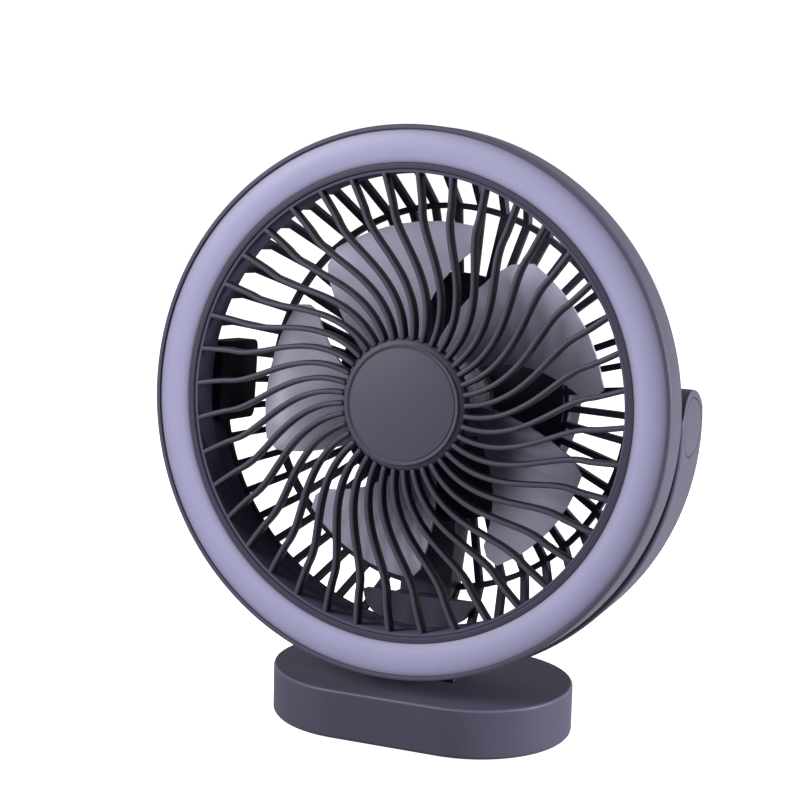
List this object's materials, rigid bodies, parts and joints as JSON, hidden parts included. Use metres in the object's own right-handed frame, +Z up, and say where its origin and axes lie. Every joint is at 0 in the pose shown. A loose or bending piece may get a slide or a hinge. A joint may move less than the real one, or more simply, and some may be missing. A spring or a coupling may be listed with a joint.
{
  "type": "portable camping fan",
  "caption": "Round fan head with a light ring, spiral front grille and curved bracket arm that tilts it over a flat oval base.",
  "frame": {"origin": "on the ground, in the middle of the foot pad's underside, straight below the tilt axis", "axes": "+Z up; -Y is the side that the air blows to; X runs along the tilt axis and the long side of the base"},
  "size_m": [0.186, 0.0805, 0.2087],
  "materials": {
    "shell": "fine satin texture",
    "dark_plastic": "satin",
    "rubber": "matt",
    "steel": "satin",
    "diffuser": "smooth milky plastic",
    "board": "solder mask",
    "chip": "matt",
    "wire": "smooth",
    "cell": "shrink sleeve",
    "lens": "clear",
    "copper": "enamelled wire",
    "blade": "satin",
    "magnet": "plated",
    "button": "satin"
  },
  "bodies": {
    "stand": {"base_shell": "shell", "base_bottom_cover": "dark_plastic", "foot_pad": "rubber", "ballast_plate": "steel", "base_screws": "steel", "bracket_arm": "shell", "clamp_plate": "steel", "bracket_screws": "steel", "pivot_pins": "steel", "pivot_washers": "dark_plastic", "pivot_caps": "shell"},
    "head": {"front_bezel": "shell", "led_diffuser": "diffuser", "led_board": "board", "led_chips": "chip", "front_grille": "shell", "hub_cap": "shell", "rear_housing": "shell", "bezel_screws": "steel", "rear_grille": "shell", "wire_duct": "dark_plastic", "led_lead": "wire", "battery_housing": "shell", "battery_cells": "cell", "cell_tabs": "steel", "main_board": "board", "usb_c_port": "steel", "button_switches": "dark_plastic", "indicator_lens": "lens", "rear_cover": "shell", "rear_cover_screws": "steel", "motor_base": "steel", "motor_screws": "steel", "stator_core": "steel", "stator_coils": "copper", "motor_board": "board", "bearings": "steel"},
    "impeller": {"impeller": "blade", "rotor_cup": "steel", "rotor_magnets": "magnet", "motor_shaft": "steel", "shaft_clip": "steel"},
    "fan_button": {"fan_button": "button"},
    "light_button": {"light_button": "button"}
  },
  "joints": [
    {"name": "head_tilt", "type": "hinge", "parent": "stand", "child": "head", "pos_m": [0, 0, 0.1142], "axis": [-1, 0, 0], "range_deg": [-5.9, 174.1]},
    {"name": "impeller_spin", "type": "hinge", "parent": "head", "child": "impeller", "pos_m": [0, 0, 0.1142], "axis": [0, -0.9947, 0.1028], "continuous": true},
    {"name": "fan_button_press", "type": "slide", "parent": "head", "child": "fan_button", "axis": [0, -0.9947, 0.1028], "range_m": [0, 0.0006], "stiffness_N_per_m": 900, "springref_m": -0.0004},
    {"name": "light_button_press", "type": "slide", "parent": "head", "child": "light_button", "axis": [0, -0.9947, 0.1028], "range_m": [0, 0.0006], "stiffness_N_per_m": 900, "springref_m": -0.0004}
  ]
}
